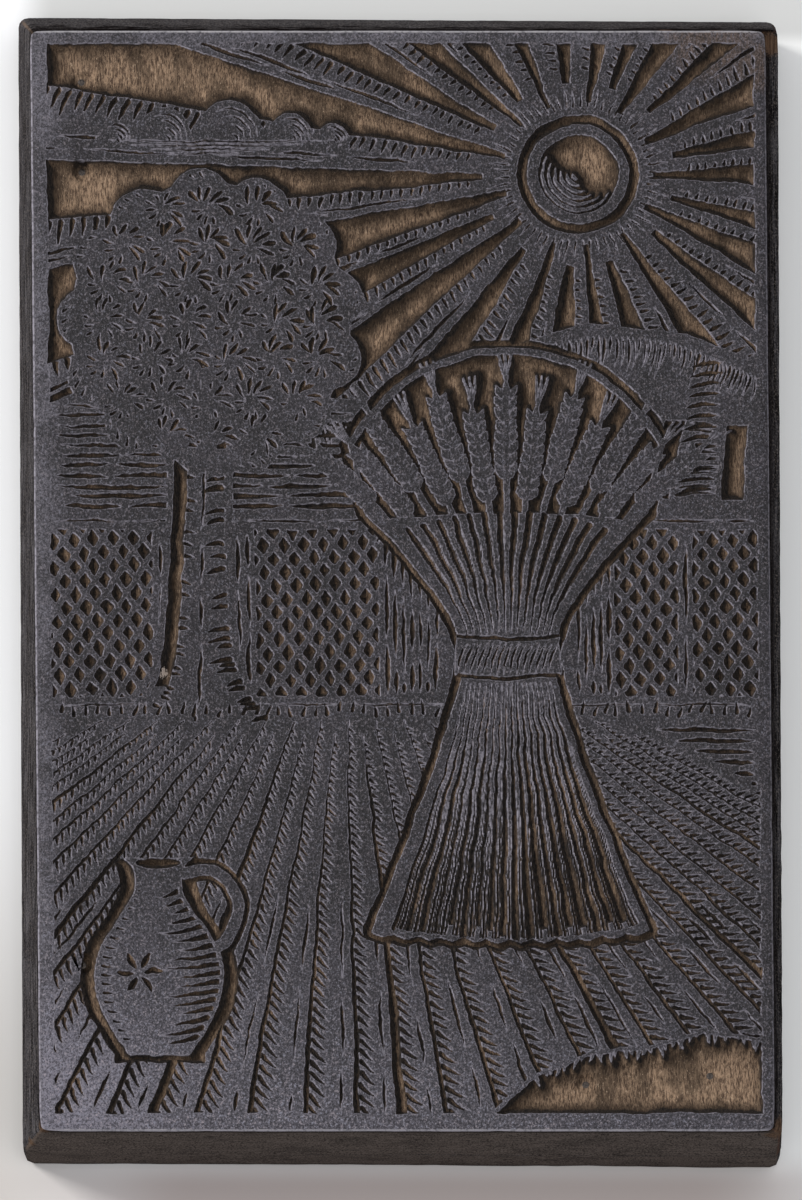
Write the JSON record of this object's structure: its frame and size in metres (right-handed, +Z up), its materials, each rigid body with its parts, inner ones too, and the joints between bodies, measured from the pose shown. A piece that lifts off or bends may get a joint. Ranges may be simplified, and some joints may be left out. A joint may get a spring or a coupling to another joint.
{
  "type": "letterpress relief block",
  "caption": "Hand-cut wooden relief block for letterpress: a carved side-grain plank bradded to a square board and made up to type height with a card underlay.",
  "frame": {"origin": "middle of the block's underside, on the bed of the press or on the table that it lies on", "axes": "+X across the block to the right of the picture, +Y along it to the top of the picture, +Z up out of the printing face"},
  "size_m": [0.1192, 0.182, 0.0233],
  "materials": {
    "inked_pear_wood": "dried black printing ink on planed side grain, bare brown wood in the cleared ground",
    "blackened_board": "matte, stained almost black, worn brown at the corners",
    "underlay_card": "matte, greyed with handling and ink",
    "brad_steel": "dull, darkened by ink"
  },
  "bodies": {
    "root": {"carved_plank": "inked_pear_wood", "mount_board": "blackened_board", "underlay_card": "underlay_card", "plank_brads": "brad_steel"}
  },
  "joints": []
}
